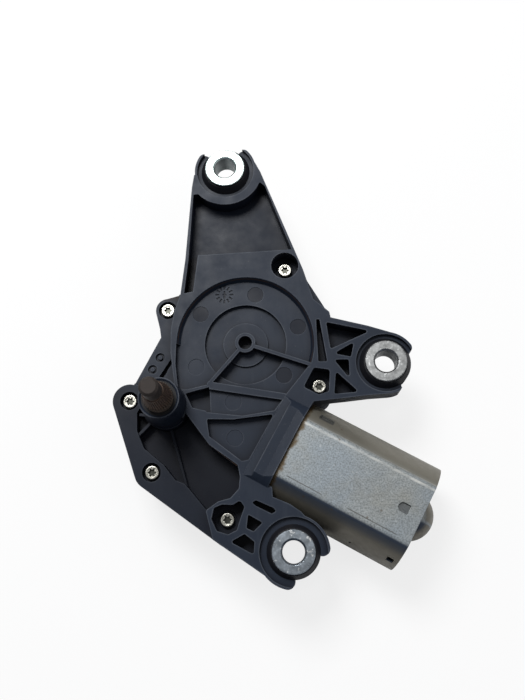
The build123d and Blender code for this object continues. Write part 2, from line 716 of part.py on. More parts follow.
def sleeve(spot, name):
    """A flanged metal sleeve with chamfered bore ends."""
    with BuildPart() as spacer:
        low = mount_face_z - sleeve_length
        tube(spot, low, mount_face_z, sleeve_barrel_r)
        tube(spot, mount_face_z - sleeve_flange, mount_face_z, sleeve_flange_r)
        chamfer(spacer.edges().group_by(Axis.Z)[-1], 0.3)
        tube(spot, low, mount_face_z, sleeve_bore_r, mode=Mode.SUBTRACT)
        for end in (low, mount_face_z - sleeve_chamfer):
            with Locations((*spot, end)):
                wide = sleeve_bore_r + sleeve_chamfer
                low_r = wide if end == low else sleeve_bore_r
                high_r = sleeve_bore_r if end == low else wide
                Cone(low_r, high_r, sleeve_chamfer, mode=Mode.SUBTRACT,
                     align=(Align.CENTER, Align.CENTER, Align.MIN))
    finish(spacer, name)


for arm, (spot, opening, outer) in mounts.items():
    grommet(spot, f"mount_grommet_{arm}")
    sleeve(spot, f"mount_sleeve_{arm}")


# Output shaft with its bushes, seal, washer, pinion and clip.
cone_foot_r = shaft_r - 0.2
shaft_bottom = lower_bush_bottom_z + 0.1
clip_top = pinion_bottom_z - clip_gap
clip_r = 7.0
shaft_end = clip_top - clip_thickness - 0.7

with BuildPart() as output_shaft:
    tube((0, 0), shaft_end, shaft_bottom, lower_shaft_r)
    tube((0, 0), shaft_bottom, -cone_length, shaft_r)
    with Locations((0, 0, -cone_length)):
        Cone(cone_foot_r, cone_top_r, cone_length, align=(Align.CENTER, Align.CENTER, Align.MIN))
    tube((0, 0), 0, stub_length, stub_r)
    chamfer(output_shaft.edges().group_by(Axis.Z)[-1], stub_chamfer)
    with PolarLocations(0, cone_grooves):
        with Locations(Location((cone_foot_r, 0, -cone_length), (0, -8.0, 45))):
            Box(0.5, 0.5, 2 * cone_length + 1, mode=Mode.SUBTRACT)
    chamfer(output_shaft.edges().filter_by(GeomType.CIRCLE).group_by(Axis.Z)[0], 0.5)
finish(output_shaft, "output_shaft")


def shaft_bush(low, name):
    """A plain bearing bush in the tower."""
    with BuildPart() as bush:
        tube((0, 0), low, low + bush_length, bush_outer_r, shaft_r + running_fit)
    finish(bush, name)


shaft_bush(upper_bush_top_z - bush_length, "shaft_bush_upper")
shaft_bush(lower_bush_bottom_z, "shaft_bush_lower")

with BuildPart() as shaft_seal:
    seal_top = tower_rim_z - seal_depth
    tube((0, 0), seal_top - seal_thickness, seal_top, bush_outer_r, shaft_r + running_fit)
finish(shaft_seal, "shaft_seal")

with BuildPart() as thrust_washer:
    tube((0, 0), column_bottom - washer_gap - washer_thickness, column_bottom - washer_gap,
         column_r - 0.3, lower_shaft_r)
finish(thrust_washer, "thrust_washer")


def clip(spot, top, outer, inner, name):
    """A retaining clip on the end of a pin."""
    with BuildPart() as ring:
        tube(spot, top - clip_thickness, top, outer, inner)
    finish(ring, name)


clip((0, 0), clip_top, clip_r, lower_shaft_r, "shaft_clip")


# Gears. A tooth's flank is given as distances from the gear's centre with half angles.
def tooth_outline(module, teeth, backlash):
    """Corner points of one tooth pointing along x, from root to tip and back."""
    pitch_radius = module * teeth / 2
    base_r = pitch_radius * cos(radians(pressure_angle))
    root = pitch_radius - 1.25 * module
    tip = pitch_radius + module
    half_pitch = 90 / teeth - degrees(backlash / 2 / pitch_radius)
    start = max(root, base_r)
    flank = []
    for step in range(5):
        radius = start + (tip - start) * step / 4
        angle = acos(min(base_r / radius, 1.0))
        turn = tan(radians(pressure_angle)) - radians(pressure_angle) - tan(angle) + angle
        flank.append(polar((0, 0), radius, half_pitch + degrees(turn)))
    foot = degrees(atan2(flank[0][1], flank[0][0]))
    flank.insert(0, polar((0, 0), root - 0.3, foot))
    return flank + [(x, -y) for x, y in reversed(flank)]


with BuildPart() as output_pinion:
    with BuildSketch(Plane.XY.offset(pinion_bottom_z)):
        Circle(pinion_r - 1.25 * gear_module)
        with PolarLocations(0, pinion_teeth, start_angle=lever_direction):
            Polygon(*tooth_outline(gear_module, pinion_teeth, gear_backlash), align=None)
        Circle(lower_shaft_r, mode=Mode.SUBTRACT)
    extrude(amount=pinion_top_z - pinion_bottom_z)
finish(output_pinion, "output_pinion")


# The toothed lever with its pins, and the connecting rod.
tooth_pitch = 360 / sector_teeth
to_pinion = lever_direction + 180
first_tooth = to_pinion - 1.5 * tooth_pitch
sector_from = first_tooth - tooth_pitch / 2
sector_to = first_tooth + (sector_cut_teeth - 0.5) * tooth_pitch
lever_hub_r = 7.0
sector_root_r = sector_r - 1.25 * gear_module

with BuildPart() as sector_lever:
    with BuildSketch(Plane.XY.offset(lever_bottom_z)):
        with Locations(lever_pivot):
            Circle(sector_root_r)
        outline(lever_pivot, polar(lever_pivot, 40, sector_from),
                polar(lever_pivot, 60, (sector_from + sector_to) / 2),
                polar(lever_pivot, 40, sector_to), mode=Mode.INTERSECT)
        with Locations(lever_pivot):
            Circle(lever_hub_r)
            with PolarLocations(0, sector_cut_teeth, start_angle=first_tooth,
                                angular_range=(sector_cut_teeth - 1) * tooth_pitch, endpoint=True):
                Polygon(*tooth_outline(gear_module, sector_teeth, gear_backlash), align=None)
        discs([lever_pivot], pivot_r + running_fit, mode=Mode.SUBTRACT)
        discs([rod_pin_spot], crank_pin_r, mode=Mode.SUBTRACT)
    extrude(amount=lever_thickness)
finish(sector_lever, "sector_lever")

with BuildPart() as lever_pivot_pin:
    tube(lever_pivot, lever_bottom_z - clip_gap - clip_thickness - 0.7, pivot_pin_top, pivot_r)
finish(lever_pivot_pin, "lever_pivot_pin")
clip(lever_pivot, lever_bottom_z - clip_gap, 5.0, pivot_r, "pivot_clip")

with BuildPart() as rod_pin:
    rod_pin_end = rod_bottom_z - clip_gap - clip_thickness - 0.5
    tube(rod_pin_spot, rod_pin_end, lever_top_z - 0.5, crank_pin_r)
    tube(rod_pin_spot, rod_top_z + 0.1, lever_bottom_z, crank_pin_r + 1.0)
finish(rod_pin, "rod_pin")
clip(rod_pin_spot, rod_bottom_z - clip_gap, 3.9, crank_pin_r, "rod_clip")

with BuildPart() as connecting_rod:
    rib(rod_pin_spot, crank_spot, rod_width, rod_bottom_z, rod_top_z)
    for end in (rod_pin_spot, crank_spot):
        tube(end, rod_bottom_z, rod_top_z, rod_eye_r)
    for end in (rod_pin_spot, crank_spot):
        tube(end, rod_bottom_z, rod_top_z, crank_pin_r + running_fit, mode=Mode.SUBTRACT)
    middle = ((rod_pin_spot[0] + crank_spot[0]) / 2, (rod_pin_spot[1] + crank_spot[1]) / 2)
    with Locations(Location((*middle, rod_bottom_z), (0, 0, rod_angle))):
        Box(rod_length - 4 * rod_eye_r, rod_width - 2.6, 0.8, mode=Mode.SUBTRACT,
            align=(Align.CENTER, Align.CENTER, Align.MIN))
finish(connecting_rod, "connecting_rod")


# Worm wheel with its axle, clip, crank pin and park contact disc.
wheel_lead = degrees(atan2(worm_pitch, 2 * pi * worm_pitch_r))
wheel_hub_r = 7.0
wheel_hub_top = inner_boss_bottom - 0.1
wheel_web = 4.0
wheel_rim_r = 22.5
to_worm = motor_angle - 90
axle_end = wheel_bottom_z - clip_gap - clip_thickness - 0.5

with BuildPart() as wheel_tooth:
    with BuildSketch(Plane.XY.offset(-wheel_width / 2)):
        Polygon(*tooth_outline(wheel_module, wheel_teeth, mesh_clearance * 2), align=None)
    extrude(amount=wheel_width / cos(radians(wheel_lead)),
            dir=(0, sin(radians(wheel_lead)), cos(radians(wheel_lead))))

with BuildPart() as worm_wheel:
    tube(wheel_centre, wheel_bottom_z, wheel_bottom_z + wheel_width, wheel_root_r)
    tube(wheel_centre, wheel_bottom_z + wheel_web, wheel_bottom_z + wheel_width, wheel_rim_r,
         mode=Mode.SUBTRACT)
    tube(wheel_centre, wheel_bottom_z, wheel_hub_top, wheel_hub_r)
    with Locations((*wheel_centre, motor_axis_z)):
        with PolarLocations(0, wheel_teeth, start_angle=to_worm + 180 / wheel_teeth):
            add(wheel_tooth.part.moved(Location((0, -wheel_width / 2 * tan(radians(wheel_lead)), 0))))
    tube(wheel_centre, wheel_bottom_z, wheel_hub_top, axle_r + running_fit, mode=Mode.SUBTRACT)
    tube(crank_spot, wheel_bottom_z, wheel_bottom_z + wheel_width, crank_pin_r + 2.0)
    tube(wheel_centre, wheel_hub_top, wheel_hub_top + 2, wheel_hub_r, mode=Mode.SUBTRACT)
    tube(crank_spot, wheel_bottom_z, wheel_bottom_z + 5.0, crank_pin_r, mode=Mode.SUBTRACT)
    tube(wheel_centre, wheel_bottom_z, wheel_hub_top, axle_r + running_fit, mode=Mode.SUBTRACT)
finish(worm_wheel, "worm_wheel")

with BuildPart() as wheel_axle:
    tube(wheel_centre, axle_end, axle_top, axle_r)
finish(wheel_axle, "wheel_axle")
clip(wheel_centre, wheel_bottom_z - clip_gap, 4.5, axle_r, "wheel_clip")

with BuildPart() as crank_pin:
    tube(crank_spot, rod_top_z + open_pivot_gap, wheel_bottom_z + 5.0, crank_pin_r)
finish(crank_pin, "crank_pin")

disc_inner_r = 15.0
disc_outer_r = 23.0
disc_thickness = 0.5
with BuildPart() as contact_disc:
    tube(wheel_centre, wheel_bottom_z - disc_thickness, wheel_bottom_z, disc_outer_r, disc_inner_r)
    with Locations(Location((*wheel_centre, wheel_bottom_z - disc_thickness), (0, 0, 30))):
        Box(30, 5, 4 * disc_thickness, mode=Mode.SUBTRACT,
            align=(Align.MIN, Align.CENTER, Align.CENTER))
    tube(wheel_centre, wheel_bottom_z - disc_thickness, wheel_bottom_z, disc_outer_r, 20.0)
finish(contact_disc, "contact_disc")


# Motor can and magnets.
dome_r = (cup_r**2 + cup_height**2) / (2 * cup_height)
dome_centre = can_end + cup_height - dome_r
can_inner_r = can_r - can_wall
can_inner_half = can_half_flat - can_wall


motor_line = Axis(on_motor(0, 0), motor_u)
motor_side = Plane(origin=on_motor(0, 0), x_dir=motor_u, z_dir=-motor_n)


def dome_reach(radius, along):
    """How far the dome's round surface stands from the motor's axis at a place along it."""
    return sqrt(radius**2 - (along - dome_centre) ** 2)


def can_solid(radius, half_flat, crease, end, dome):
    """The can's flat-sided shape, with the domed cup for its rear bearing."""
    motor_can_block(can_start, end, radius, half_flat, crease)
    start = end - can_wall
    with BuildSketch(motor_side) as half_dome:
        with BuildLine() as edge:
            Polyline((dome_centre + dome, 0), (start, 0), (start, dome_reach(dome, start)))
            CenterArc((dome_centre, 0), dome, 0, degrees(acos((start - dome_centre) / dome)))
        make_face(edge.edges())
    revolve(half_dome.sketch, axis=motor_line)


def on_can(along, angle, radius):
    """A sketch plane square to the can's round side, at an angle up from across the motor."""
    out = motor_n * cos(radians(angle)) + Vector(0, 0, sin(radians(angle)))
    return Plane(origin=Vector(*on_motor(along, 0)) + out * radius, x_dir=motor_u, z_dir=out)


with BuildPart() as can_inside:
    can_solid(can_inner_r, can_inner_half, can_crease_r - can_wall, can_end - can_wall,
              dome_r - can_wall)

with BuildPart() as motor_can:
    can_solid(can_r, can_half_flat, can_crease_r, can_end, dome_r)
    add(can_inside.part, mode=Mode.SUBTRACT)
    # The half-round dent in the flat, the long dent beside it, and two holes.
    with BuildSketch(Plane.XY.offset(mount_face_z - dent_depth)) as dent:
        discs([seen(dent_along, 0)], dent_r)
        with Locations(seen(dent_along + dent_length / 2, 0)):
            Rectangle(dent_length, 2 * dent_r, rotation=motor_angle)
    extrude(dent.sketch, amount=dent_depth, mode=Mode.SUBTRACT)
    with BuildSketch(on_can(slot_along, slot_angle, can_r - dent_depth)) as long_dent:
        SlotOverall(slot_length, slot_dent_width)
    extrude(long_dent.sketch, amount=can_wall, mode=Mode.SUBTRACT)
    with BuildSketch(on_can(vent_along, vent_angle, can_inner_r - can_wall)) as vent:
        Rectangle(vent_size, vent_size)
    extrude(vent.sketch, amount=3 * can_wall, mode=Mode.SUBTRACT)
    with BuildSketch(on_can(pin_hole_along, pin_hole_angle, can_inner_r - can_wall)) as pin_hole:
        Circle(pin_hole_r)
    extrude(pin_hole.sketch, amount=3 * can_wall, mode=Mode.SUBTRACT)
finish(motor_can, "motor_can")

with BuildPart() as magnets:
    with BuildSketch(motor_plane(magnet_start)):
        Circle(can_inner_r)
        Circle(core_r + air_gap, mode=Mode.SUBTRACT)
        reach = 2 * can_r
        rise = reach * tan(radians(magnet_half_angle))
        for side in (1, -1):
            outline((0, 0), (side * reach, rise), (side * reach, 3 * rise), (-side * reach, 3 * rise),
                    (-side * reach, rise), mode=Mode.SUBTRACT)
            outline((0, 0), (side * reach, -rise), (side * reach, -3 * rise),
                    (-side * reach, -3 * rise), (-side * reach, -rise), mode=Mode.SUBTRACT)
    extrude(amount=magnet_end - magnet_start)
finish(magnets, "magnets")


# Motor bushes and thrust pad.
def motor_bush(start, end, outer, inner, name):
    """A plain bearing bush on the motor's axis."""
    with BuildPart() as bush:
        motor_tube(start, end, outer, inner)
    finish(bush, name)


motor_bush(front_bush_start, front_bush_end, front_bush_r, journal_r + running_fit, "motor_bush_front")
motor_bush(middle_bush_start, middle_bush_end, middle_bush_r, motor_shaft_r + running_fit,
           "motor_bush_middle")

# The rear bush is round like the inside of the dome, so that it lines itself up.
with BuildPart() as motor_bush_rear:
    seat_ball_r = dome_r - can_wall
    seat_start = dome_centre + sqrt(seat_ball_r**2 - rear_bush_r**2)
    end_r = dome_reach(seat_ball_r, rear_bush_end)
    middle = (seat_start + rear_bush_end) / 2
    bore = motor_shaft_r + running_fit
    with BuildSketch(motor_side):
        with BuildLine():
            Polyline((rear_bush_end, end_r), (rear_bush_end, bore), (rear_bush_start, bore),
                     (rear_bush_start, rear_bush_r), (seat_start, rear_bush_r))
            ThreePointArc((seat_start, rear_bush_r), (middle, dome_reach(seat_ball_r, middle)),
                          (rear_bush_end, end_r))
        make_face()
    revolve(axis=motor_line)
finish(motor_bush_rear, "motor_bush_rear")

with BuildPart() as thrust_pad:
    motor_tube(thrust_pad_start, front_bush_start - 0.1, thrust_pad_r)
finish(thrust_pad, "thrust_pad")


# Armature: shaft with its worm, core, windings and commutator.
with BuildPart() as worm_thread:
    with BuildLine() as thread_path:
        turns = Helix(worm_pitch, worm_turns * worm_pitch, worm_pitch_r)
    with BuildSketch(Plane(origin=turns @ 0, x_dir=(1, 0, 0), z_dir=turns % 0)):
        flank = tan(radians(pressure_angle))
        half_pitch_width = worm_pitch / 4 - mesh_clearance / 2
        inward = worm_pitch_r - worm_root_r + 0.3
        outward = worm_tip_r - worm_pitch_r
        outline((-inward, half_pitch_width + inward * flank), (outward, half_pitch_width - outward * flank),
                (outward, -half_pitch_width + outward * flank), (-inward, -half_pitch_width - inward * flank))
    sweep(is_frenet=True)

with BuildPart() as armature_shaft:
    motor_tube(front_bush_start, front_bush_end + 0.6, journal_r)
    motor_tube(front_bush_end + 0.6, worm_end + 1.5, worm_root_r)
    motor_tube(worm_end + 1.5, motor_shaft_end, motor_shaft_r)
    worm_plane = Plane(origin=on_motor(worm_start, 0), x_dir=-motor_n, z_dir=motor_u)
    add(worm_thread.part.moved(worm_plane.location))
finish(armature_shaft, "armature_shaft")

with BuildPart() as armature_core:
    with BuildSketch(motor_plane(core_start)):
        Circle(core_r)
        Circle(motor_shaft_r, mode=Mode.SUBTRACT)
        with PolarLocations((slot_floor_r + slot_top_r) / 2, core_slots):
            Rectangle(slot_top_r - slot_floor_r, slot_width, mode=Mode.SUBTRACT)
        with PolarLocations(core_r, core_slots):
            Rectangle(4 * (core_r - slot_top_r), slot_mouth, mode=Mode.SUBTRACT)
    extrude(amount=core_end - core_start)
finish(armature_core, "armature_core")

with BuildPart() as armature_windings:
    with BuildSketch(motor_plane(core_start)):
        with PolarLocations((slot_floor_r + slot_top_r) / 2, core_slots):
            Rectangle(slot_top_r - slot_floor_r, slot_width)
    extrude(amount=core_end - core_start)
    for start in (core_start - winding_overhang, core_end):
        motor_tube(start, start + winding_overhang, slot_top_r, motor_shaft_r + 1.5)
finish(armature_windings, "armature_windings")

with BuildPart() as commutator:
    motor_tube(commutator_start, commutator_end, commutator_r)
    motor_tube(commutator_end - 1.2, commutator_end, commutator_r + 0.9)
    with BuildSketch(motor_plane(commutator_start)):
        with PolarLocations(commutator_r, commutator_bars, start_angle=180 / commutator_bars):
            Rectangle(2.6, 0.5)
    extrude(amount=commutator_end - commutator_start, mode=Mode.SUBTRACT)
    motor_tube(commutator_start, commutator_end, motor_shaft_r, mode=Mode.SUBTRACT)
finish(commutator, "commutator")


# Brush holder, brushes and springs. The two brushes face each other across the motor's axis.
brush_middle = brush_start + brush_width / 2
brush_back = commutator_r + running_fit + brush_length
box_wall = 0.9
box_gap = 0.05
box_end = collar_bore_r - 1.0
box_end_wall = 0.8


def brush_bar(start, end, side, half_width, half_height, mode=Mode.ADD):
    """A bar across the motor's axis, on one side of it."""
    plane = Plane(origin=on_motor(brush_middle, side * start), x_dir=motor_u, z_dir=motor_n * side)
    with BuildSketch(plane) as area:
        Rectangle(2 * half_width, 2 * half_height)
    extrude(area.sketch, amount=end - start, mode=mode)


with BuildPart() as brush_holder:
    with BuildSketch(motor_plane(brush_card_start)):
        can_section(collar_bore_r - 0.05, spigot_half_bore - 0.05)
        Circle(commutator_r + 1.8, mode=Mode.SUBTRACT)
    extrude(amount=brush_card)
    outside = brush_width / 2 + box_gap + box_wall
    for side in (1, -1):
        brush_bar(commutator_r + 1.8, box_end, side, outside, outside)
        with BuildSketch(motor_plane(brush_middle)) as leg:
            with Locations((side * (commutator_r + 1.8 + box_end) / 2, 0)):
                Rectangle(box_end - commutator_r - 1.8, 2 * outside)
        extrude(leg.sketch, amount=brush_card_start - brush_middle)
    for side in (1, -1):
        brush_bar(0, box_end - box_end_wall, side, brush_width / 2 + box_gap,
                  brush_width / 2 + box_gap, mode=Mode.SUBTRACT)
finish(brush_holder, "brush_holder")

with BuildPart() as brushes:
    for side in (1, -1):
        brush_bar(commutator_r - 2, brush_back, side, brush_width / 2, brush_width / 2)
    motor_tube(brush_start - 1, brush_start + brush_width + 1, commutator_r + running_fit,
               mode=Mode.SUBTRACT)
finish(brushes, "brushes")

spring_length = box_end - box_end_wall - brush_back - 2 * spring_wire_r
with BuildPart() as coil:
    with BuildLine() as coil_path:
        turns = Helix(spring_length / spring_turns, spring_length, spring_r)
    with BuildSketch(Plane(origin=turns @ 0, x_dir=(1, 0, 0), z_dir=turns % 0)):
        Circle(spring_wire_r)
    sweep(is_frenet=True)

with BuildPart() as brush_springs:
    for side in (1, -1):
        seat = Plane(origin=on_motor(brush_middle, side * (brush_back + spring_wire_r)),
                     x_dir=motor_u, z_dir=motor_n * side)
        add(coil.part.moved(seat.location))
finish(brush_springs, "brush_springs")


# Connector socket on the cover, below the longest arm, with its blades.
socket_low = base_z + 0.5
socket_front = socket_back + socket_reach
with BuildPart() as connector_socket:
    with Locations((socket_centre, socket_back, socket_low)):
        Box(socket_width, socket_front - socket_back, socket_height,
            align=(Align.CENTER, Align.MIN, Align.MIN))
    fillet(connector_socket.edges().filter_by(Axis.Y), 1.5)
    with BuildSketch(Plane.XY.offset(base_z)):
        add(chamber.sketch)
    extrude(amount=40, mode=Mode.SUBTRACT)
    with Locations((socket_centre, socket_front, socket_low + socket_wall)):
        Box(socket_width - 2 * socket_wall, socket_depth, socket_height - 2 * socket_wall,
            align=(Align.CENTER, Align.MAX, Align.MIN), mode=Mode.SUBTRACT)
    with Locations((socket_centre, socket_front - 4, socket_low + socket_height)):
        Box(6, 3, 1.2, align=(Align.CENTER, Align.CENTER, Align.MIN))
    with Locations((socket_centre, socket_back + blade_root, socket_low + socket_height / 2)):
        with GridLocations(blade_pitch, 1, blade_count, 1):
            Box(blade_width, socket_reach - socket_depth - blade_root + 1, blade_thickness,
                align=(Align.CENTER, Align.MIN, Align.CENTER), mode=Mode.SUBTRACT)
finish(connector_socket, "connector_socket")

with BuildPart() as connector_terminals:
    with Locations((socket_centre, socket_back + blade_root, socket_low + socket_height / 2)):
        with GridLocations(blade_pitch, 1, blade_count, 1):
            Box(blade_width, socket_reach - socket_depth - blade_root + blade_reach, blade_thickness,
                align=(Align.CENTER, Align.MIN, Align.CENTER))
finish(connector_terminals, "connector_terminals")


# What stands on the cover's floor: two chokes, a capacitor, and the park contacts.
with BuildPart() as suppression_chokes:
    for spot in ((22.0, 43.5), (44.5, 48.0)):
        with Locations(Location((*spot, cover_inside_z + choke_r), (0, 90, 0))):
            Cylinder(choke_r, choke_length)
finish(suppression_chokes, "suppression_chokes")

with BuildPart() as suppression_capacitor:
    with Locations((33.0, 50.0, cover_inside_z)):
        Box(10, 6, 7, align=(Align.CENTER, Align.CENTER, Align.MIN))
    fillet(suppression_capacitor.edges().group_by(Axis.Z)[-1], 1.0)
finish(suppression_capacitor, "suppression_capacitor")

carrier_top = split_z + 0.5
carrier_plane = Plane(origin=(*polar(wheel_centre, carrier_r, carrier_angle), cover_inside_z),
                      x_dir=(cos(radians(carrier_angle)), sin(radians(carrier_angle)), 0))
with BuildPart() as contact_carrier:
    with BuildSketch(carrier_plane):
        Rectangle(4.0, 14.0)
    extrude(amount=carrier_top - cover_inside_z)
finish(contact_carrier, "contact_carrier")

finger_plane = Plane(origin=(*wheel_centre, carrier_top),
                     x_dir=(cos(radians(carrier_angle)), sin(radians(carrier_angle)), 0),
                     z_dir=(sin(radians(carrier_angle)), -cos(radians(carrier_angle)), 0))
with BuildPart() as contact_fingers:
    rise = wheel_bottom_z - disc_thickness - finger_gap - carrier_top
    for place in (-4.5, 0.0, 4.5):
        with BuildSketch(finger_plane.offset(place - finger_width / 2)) as side_view:
            outline((carrier_r - 1.5, 0), (carrier_r + 1.5, 0), (carrier_r + 1.5, 0.4),
                    (carrier_r - 0.5, 0.4), (carrier_r - 2.8, rise), (carrier_r - 3.8, rise),
                    (carrier_r - 1.5, 0.5))
        extrude(side_view.sketch, amount=finger_width)
finish(contact_fingers, "contact_fingers")
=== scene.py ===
import bpy
import json
from math import cos, radians, sin
from mathutils import Matrix, Vector

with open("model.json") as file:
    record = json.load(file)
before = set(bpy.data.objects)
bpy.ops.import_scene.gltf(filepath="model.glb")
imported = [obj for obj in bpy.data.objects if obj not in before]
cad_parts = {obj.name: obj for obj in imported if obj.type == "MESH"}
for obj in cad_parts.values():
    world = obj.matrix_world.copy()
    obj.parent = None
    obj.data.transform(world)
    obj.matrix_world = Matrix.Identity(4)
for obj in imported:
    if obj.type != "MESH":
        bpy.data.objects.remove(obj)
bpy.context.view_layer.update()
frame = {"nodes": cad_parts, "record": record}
nodes = frame["nodes"]
scene = bpy.context.scene
MM = 0.001

# Camera, placed as the photograph was taken. The focal length is in the photograph's pixels.
CAMERA_SPOT = Vector((55.6, -61.5, 306.0)) * MM
FOCAL_PIXELS = 791.34
PICTURE_HEIGHT = 700
SENSOR = 36
camera = bpy.data.objects.new("camera", bpy.data.cameras.new("camera"))
scene.collection.objects.link(camera)
scene.camera = camera
right = Vector((0.99924, 0.0, -0.03902))
down = Vector((-0.00962, -0.96916, -0.24623))
look = Vector((-0.03782, 0.24642, -0.96842))
turn = Matrix((right, -down, -look)).transposed().to_4x4()
camera.matrix_world = Matrix.Translation(CAMERA_SPOT) @ turn
camera.data.sensor_width = SENSOR
camera.data.lens = FOCAL_PIXELS * SENSOR / PICTURE_HEIGHT
camera.data.clip_start = 0.01

# The motor's own directions, how far its axis stands off the output shaft, and the can's start.
MOTOR_ANGLE = radians(-28.2)
U = Vector((cos(MOTOR_ANGLE), sin(MOTOR_ANGLE), 0))
N = Vector((-U.y, U.x, 0))
MOTOR_OFFSET = 8.6 * MM
CAN_START = 56.3 * MM


# Materials.
class Look:
    """A node material, with short ways to add what it needs."""

    def __init__(self, name, colour, roughness, metallic=0.0, specular=0.5):
        self.material = bpy.data.materials.new(name)
        self.material.use_nodes = True
        self.tree = self.material.node_tree
        self.shader = self.tree.nodes["Principled BSDF"]
        self.shader.inputs["Base Color"].default_value = (*colour, 1)
        self.shader.inputs["Roughness"].default_value = roughness
        self.shader.inputs["Metallic"].default_value = metallic
        self.shader.inputs["Specular IOR Level"].default_value = specular
        self.place = self.tree.nodes.new("ShaderNodeTexCoord").outputs["Object"]
        self.colour = None
        self.normal = None

    def link(self, a, b):
        self.tree.links.new(a, b)

    def placed(self, stretch, turn):
        """The object's coordinates, stretched and turned about the upright axis."""
        node = self.tree.nodes.new("ShaderNodeMapping")
        node.inputs["Scale"].default_value = stretch
        node.inputs["Rotation"].default_value = (0, 0, turn)
        self.link(self.place, node.inputs["Vector"])
        return node.outputs["Vector"]

    def noise(self, scale, detail=3.0, rough=0.55, stretch=None, turn=0.0):
        node = self.tree.nodes.new("ShaderNodeTexNoise")
        node.inputs["Scale"].default_value = scale
        node.inputs["Detail"].default_value = detail
        node.inputs["Roughness"].default_value = rough
        self.link(self.placed(stretch, turn) if stretch else self.place, node.inputs["Vector"])
        return node.outputs["Fac"]

    def voronoi(self, scale):
        node = self.tree.nodes.new("ShaderNodeTexVoronoi")
        node.inputs["Scale"].default_value = scale
        self.link(self.place, node.inputs["Vector"])
        return node.outputs["Distance"]

    def band(self, value, low, high, out_low=0.0, out_high=1.0):
        node = self.tree.nodes.new("ShaderNodeMapRange")
        node.inputs["From Min"].default_value = low
        node.inputs["From Max"].default_value = high
        node.inputs["To Min"].default_value = out_low
        node.inputs["To Max"].default_value = out_high
        self.link(value, node.inputs["Value"])
        return node.outputs["Result"]

    def maths(self, kind, a, b):
        node = self.tree.nodes.new("ShaderNodeMath")
        node.operation = kind
        for socket, value in zip(node.inputs, (a, b)):
            if isinstance(value, (int, float)):
                socket.default_value = value
            else:
                self.link(value, socket)
        return node.outputs["Value"]

    def times(self, first, *others):
        for other in others:
            first = self.maths("MULTIPLY", first, other)
        return first

    def strip(self, value, low, high, soft):
        """1 between low and high, 0 outside, with soft ends."""
        up = self.band(value, low - soft, low)
        return self.times(up, self.band(value, high, high + soft, 1.0, 0.0))

    def dot(self, vector, direction):
        node = self.tree.nodes.new("ShaderNodeVectorMath")
        node.operation = "DOT_PRODUCT"
        self.link(vector, node.inputs[0])
        node.inputs[1].default_value = direction
        return node.outputs["Value"]

    def along(self, direction, offset=0.0):
        """How far a point lies along a direction, in metres."""
        return self.maths("SUBTRACT", self.dot(self.place, direction), offset)

    def facing(self, direction):
        """1 where the surface faces this way, -1 where it faces away."""
        geometry = self.tree.nodes.new("ShaderNodeNewGeometry")
        return self.dot(geometry.outputs["Normal"], direction)

    def shut_in(self, distance, inside=False):
        """1 on open faces, less in corners, or with inside, less along the outer edges."""
        node = self.tree.nodes.new("ShaderNodeAmbientOcclusion")
        node.inside = inside
        node.only_local = True
        node.samples = 6
        node.inputs["Distance"].default_value = distance
        return node.outputs["AO"]

    def mix(self, factor, colour, kind="MIX"):
        """Mixes a colour over what the base has so far."""
        node = self.tree.nodes.new("ShaderNodeMix")
        node.data_type = "RGBA"
        node.blend_type = kind
        if isinstance(factor, (int, float)):
            node.inputs["Factor"].default_value = factor
        else:
            self.link(factor, node.inputs["Factor"])
        if self.colour is None:
            node.inputs["A"].default_value = self.shader.inputs["Base Color"].default_value
        else:
            self.link(self.colour, node.inputs["A"])
        node.inputs["B"].default_value = (*colour, 1)
        self.colour = node.outputs["Result"]
        self.link(self.colour, self.shader.inputs["Base Color"])

    def roughness(self, value):
        self.link(value, self.shader.inputs["Roughness"])

    def bump(self, height, strength, distance=0.0001):
        node = self.tree.nodes.new("ShaderNodeBump")
        node.inputs["Strength"].default_value = strength
        node.inputs["Distance"].default_value = distance
        self.link(height, node.inputs["Height"])
        if self.normal is not None:
            self.link(self.normal, node.inputs["Normal"])
        self.normal = node.outputs["Normal"]
        self.link(self.normal, self.shader.inputs["Normal"])

    def soft_edges(self, radius):
        node = self.tree.nodes.new("ShaderNodeBevel")
        node.samples = 4
        node.inputs["Radius"].default_value = radius
        self.normal = node.outputs["Normal"]
        self.link(self.normal, self.shader.inputs["Normal"])


EAST = (1, 0, 0)
NORTH = (0, 1, 0)
UP = (0, 0, 1)
BLACK = (0.0028, 0.0042, 0.0095)


def plastic(name, colour, edge=0.0004, specular=0.16):
    """Moulded plastic with slight clouds in its colour."""
    look = Look(name, colour, 0.45, specular=specular)
    look.soft_edges(edge)
    look.bump(look.noise(2400, 2), 0.2, 0.00005)
    look.mix(look.band(look.noise(45, 4, 0.6), 0.35, 0.75, 0.0, 0.45), tuple(c * 1.5 for c in colour))
    look.mix(look.band(look.noise(22, 5, 0.7), 0.5, 0.8, 0.0, 0.5), tuple(c * 0.6 for c in colour))
    look.roughness(look.band(look.noise(120, 3), 0.3, 0.7, 0.36, 0.52))
    return look


